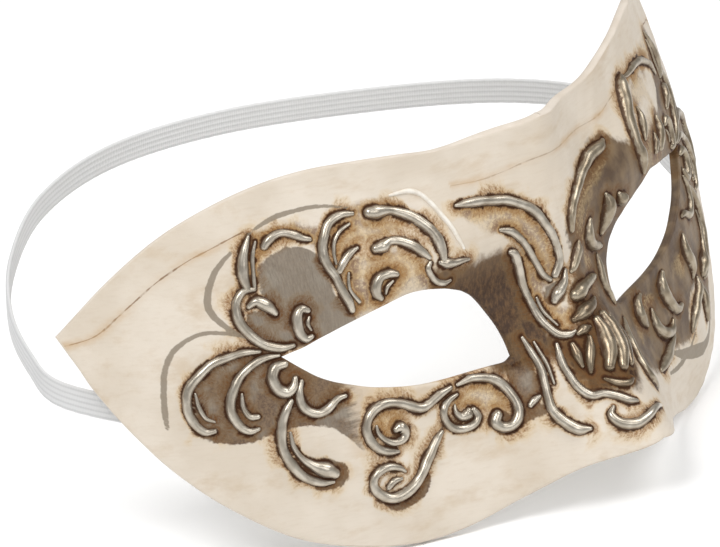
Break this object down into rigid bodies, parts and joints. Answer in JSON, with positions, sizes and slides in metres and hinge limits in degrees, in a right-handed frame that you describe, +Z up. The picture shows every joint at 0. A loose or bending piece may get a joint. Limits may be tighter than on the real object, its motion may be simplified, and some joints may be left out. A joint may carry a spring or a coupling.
{
  "type": "venetian half mask",
  "caption": "Curved half mask with two eye holes, raised scroll relief on its front and a flat elastic head band.",
  "frame": {"origin": "inner face of the nose bridge on the middle line, where the mask sits on the nose", "axes": "+X towards the wearer's left and the longest way across the mask, -Y out of the front, +Z up"},
  "size_m": [0.1952, 0.1571, 0.0819],
  "materials": {
    "paper_shell": "ivory gesso over pulp, rubbed with brown glaze, eggshell sheen",
    "silver_relief": "gloss silver paint over raised paste, brown glaze in the recesses",
    "ivory_relief": "raised paste left ivory",
    "cloth_tab": "glued cloth patch",
    "white_elastic": "ribbed white elastic, slightly see-through"
  },
  "bodies": {
    "mask": {"shell": "paper_shell", "right_temple_leaf": "silver_relief", "left_temple_leaf": "silver_relief", "right_cheek_fern": "silver_relief", "left_cheek_fern": "silver_relief", "right_cheek_tail": "silver_relief", "left_cheek_tail": "silver_relief", "right_brow_scroll": "silver_relief", "left_brow_scroll": "silver_relief", "right_brow_drops": "silver_relief", "left_brow_drops": "silver_relief", "right_brow_arc": "ivory_relief", "left_brow_arc": "silver_relief", "right_long_scroll": "silver_relief", "left_long_scroll": "silver_relief", "right_eye_curls": "silver_relief", "left_eye_curls": "silver_relief", "right_nose_leaf": "silver_relief", "left_nose_leaf": "silver_relief", "right_nose_drop": "silver_relief", "left_nose_drop": "silver_relief", "right_nose_scroll": "silver_relief", "left_nose_scroll": "silver_relief", "nose_palmette": "silver_relief", "nose_crescent": "silver_relief", "right_band_tab": "cloth_tab", "left_band_tab": "cloth_tab"},
    "strap": {"elastic_band": "white_elastic"}
  },
  "joints": [
    {"name": "band_swing", "type": "hinge", "parent": "mask", "child": "strap", "pos_m": [0.00004, 0.03536, -0.0084], "axis": [0.9999, -0.0111, 0.0004], "range_deg": [-35, 8], "stiffness_Nm_per_rad": 0.05}
  ]
}
